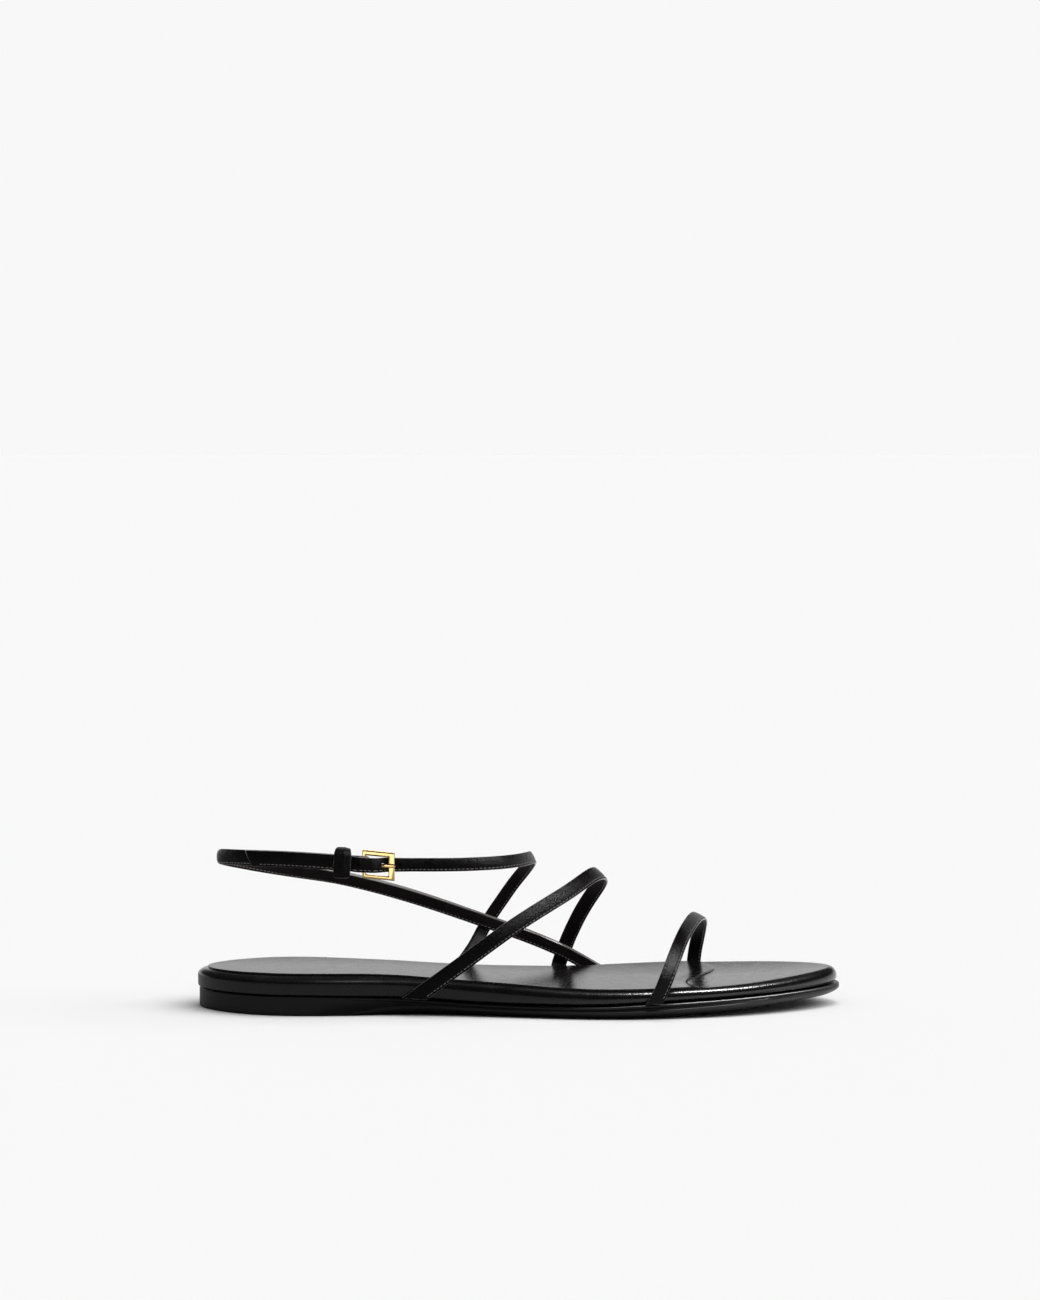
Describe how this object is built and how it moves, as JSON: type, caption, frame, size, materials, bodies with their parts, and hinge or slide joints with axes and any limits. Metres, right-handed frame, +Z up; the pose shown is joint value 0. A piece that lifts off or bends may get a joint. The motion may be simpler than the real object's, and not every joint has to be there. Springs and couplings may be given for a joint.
{
  "type": "strappy flat sandal",
  "caption": "Flat black leather sandal for the right foot, with a toe strap, crossed instep and ankle straps, a heel sling and a buckle at the outer ankle.",
  "frame": {"origin": "middle of the sandal's box on the floor that it stands on", "axes": "+X from heel to toe, +Y to the inner side of the foot, +Z up from the floor"},
  "size_m": [0.2506, 0.0864, 0.0654],
  "materials": {
    "sole_leather": "dyed black, semi-matt edge",
    "wrap_leather": "black, soft gloss",
    "sock_leather": "black, smooth gloss",
    "strap_leather": "black, fine grain, soft gloss",
    "gold": "polished gold plate"
  },
  "bodies": {
    "root": {"outsole": "sole_leather", "footbed": "wrap_leather", "sock_lining": "sock_leather", "toe_strap": "strap_leather", "upper_straps": "strap_leather", "buckle_frame": "gold", "buckle_prong": "gold", "strap_keeper": "strap_leather"}
  },
  "joints": []
}
